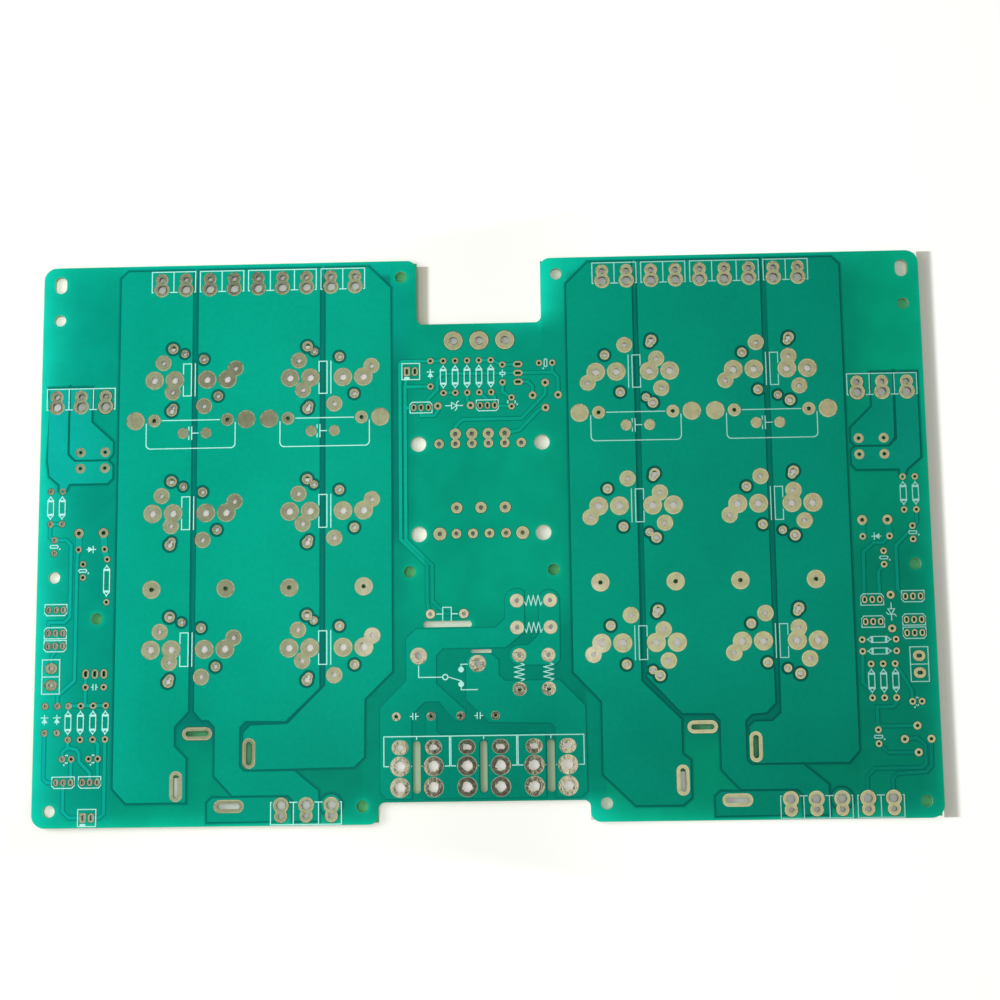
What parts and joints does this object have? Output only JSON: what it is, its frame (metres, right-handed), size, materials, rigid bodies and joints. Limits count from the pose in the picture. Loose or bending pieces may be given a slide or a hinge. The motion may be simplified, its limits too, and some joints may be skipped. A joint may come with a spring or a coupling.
{
  "type": "bare power supply board",
  "caption": "Bare green circuit board for a power supply, with edge notches, wide copper pours, plated lands for terminals and capacitors, isolating slots and printed legend.",
  "frame": {"origin": "middle of the board's outline, on its underside", "axes": "+X along the long side, +Y towards the deep notch, +Z from the underside to the print"},
  "size_m": [0.274, 0.174, 0.0017],
  "materials": {
    "board_coat": "green solder coat over glass and epoxy laminate",
    "copper_coat": "green solder coat over copper",
    "tinned_land": "bright tinned copper, slightly wavy",
    "print_ink": "matt white print"
  },
  "bodies": {
    "root": {"board": "board_coat", "left_outer_pour": "copper_coat", "left_middle_pour": "copper_coat", "left_inner_pour": "copper_coat", "right_inner_pour": "copper_coat", "right_middle_pour": "copper_coat", "right_outer_pour": "copper_coat", "output_copper": "copper_coat", "left_sense_copper": "copper_coat", "right_sense_copper": "copper_coat", "input_copper": "copper_coat", "left_control_tracks": "copper_coat", "centre_control_tracks": "copper_coat", "right_control_tracks": "copper_coat", "top_left_terminal_lands": "tinned_land", "top_right_terminal_lands": "tinned_land", "side_terminal_lands": "tinned_land", "output_terminal_lands": "tinned_land", "auxiliary_terminal_lands": "tinned_land", "centre_terminal_lands": "tinned_land", "input_terminal_lands": "tinned_land", "bus_lands_left_outer": "tinned_land", "bus_lands_left_inner": "tinned_land", "bus_lands_right_inner": "tinned_land", "bus_lands_right_outer": "tinned_land", "film_capacitor_lands": "tinned_land", "balance_resistor_lands": "tinned_land", "busbar_slot_lands": "tinned_land", "relay_lands": "tinned_land", "power_resistor_lands": "tinned_land", "input_capacitor_lands": "tinned_land", "transformer_lands": "tinned_land", "resistor_lands": "tinned_land", "diode_lands": "tinned_land", "zener_lands": "tinned_land", "rectifier_lands": "tinned_land", "coupler_lands": "tinned_land", "transistor_lands": "tinned_land", "regulator_lands": "tinned_land", "small_capacitor_lands": "tinned_land", "trimmer_lands": "tinned_land", "plug_lands": "tinned_land", "header_lands": "tinned_land", "terminal_legend": "print_ink", "bus_capacitor_legend": "print_ink", "film_capacitor_legend": "print_ink", "input_legend": "print_ink", "control_legend": "print_ink"}
  },
  "joints": []
}
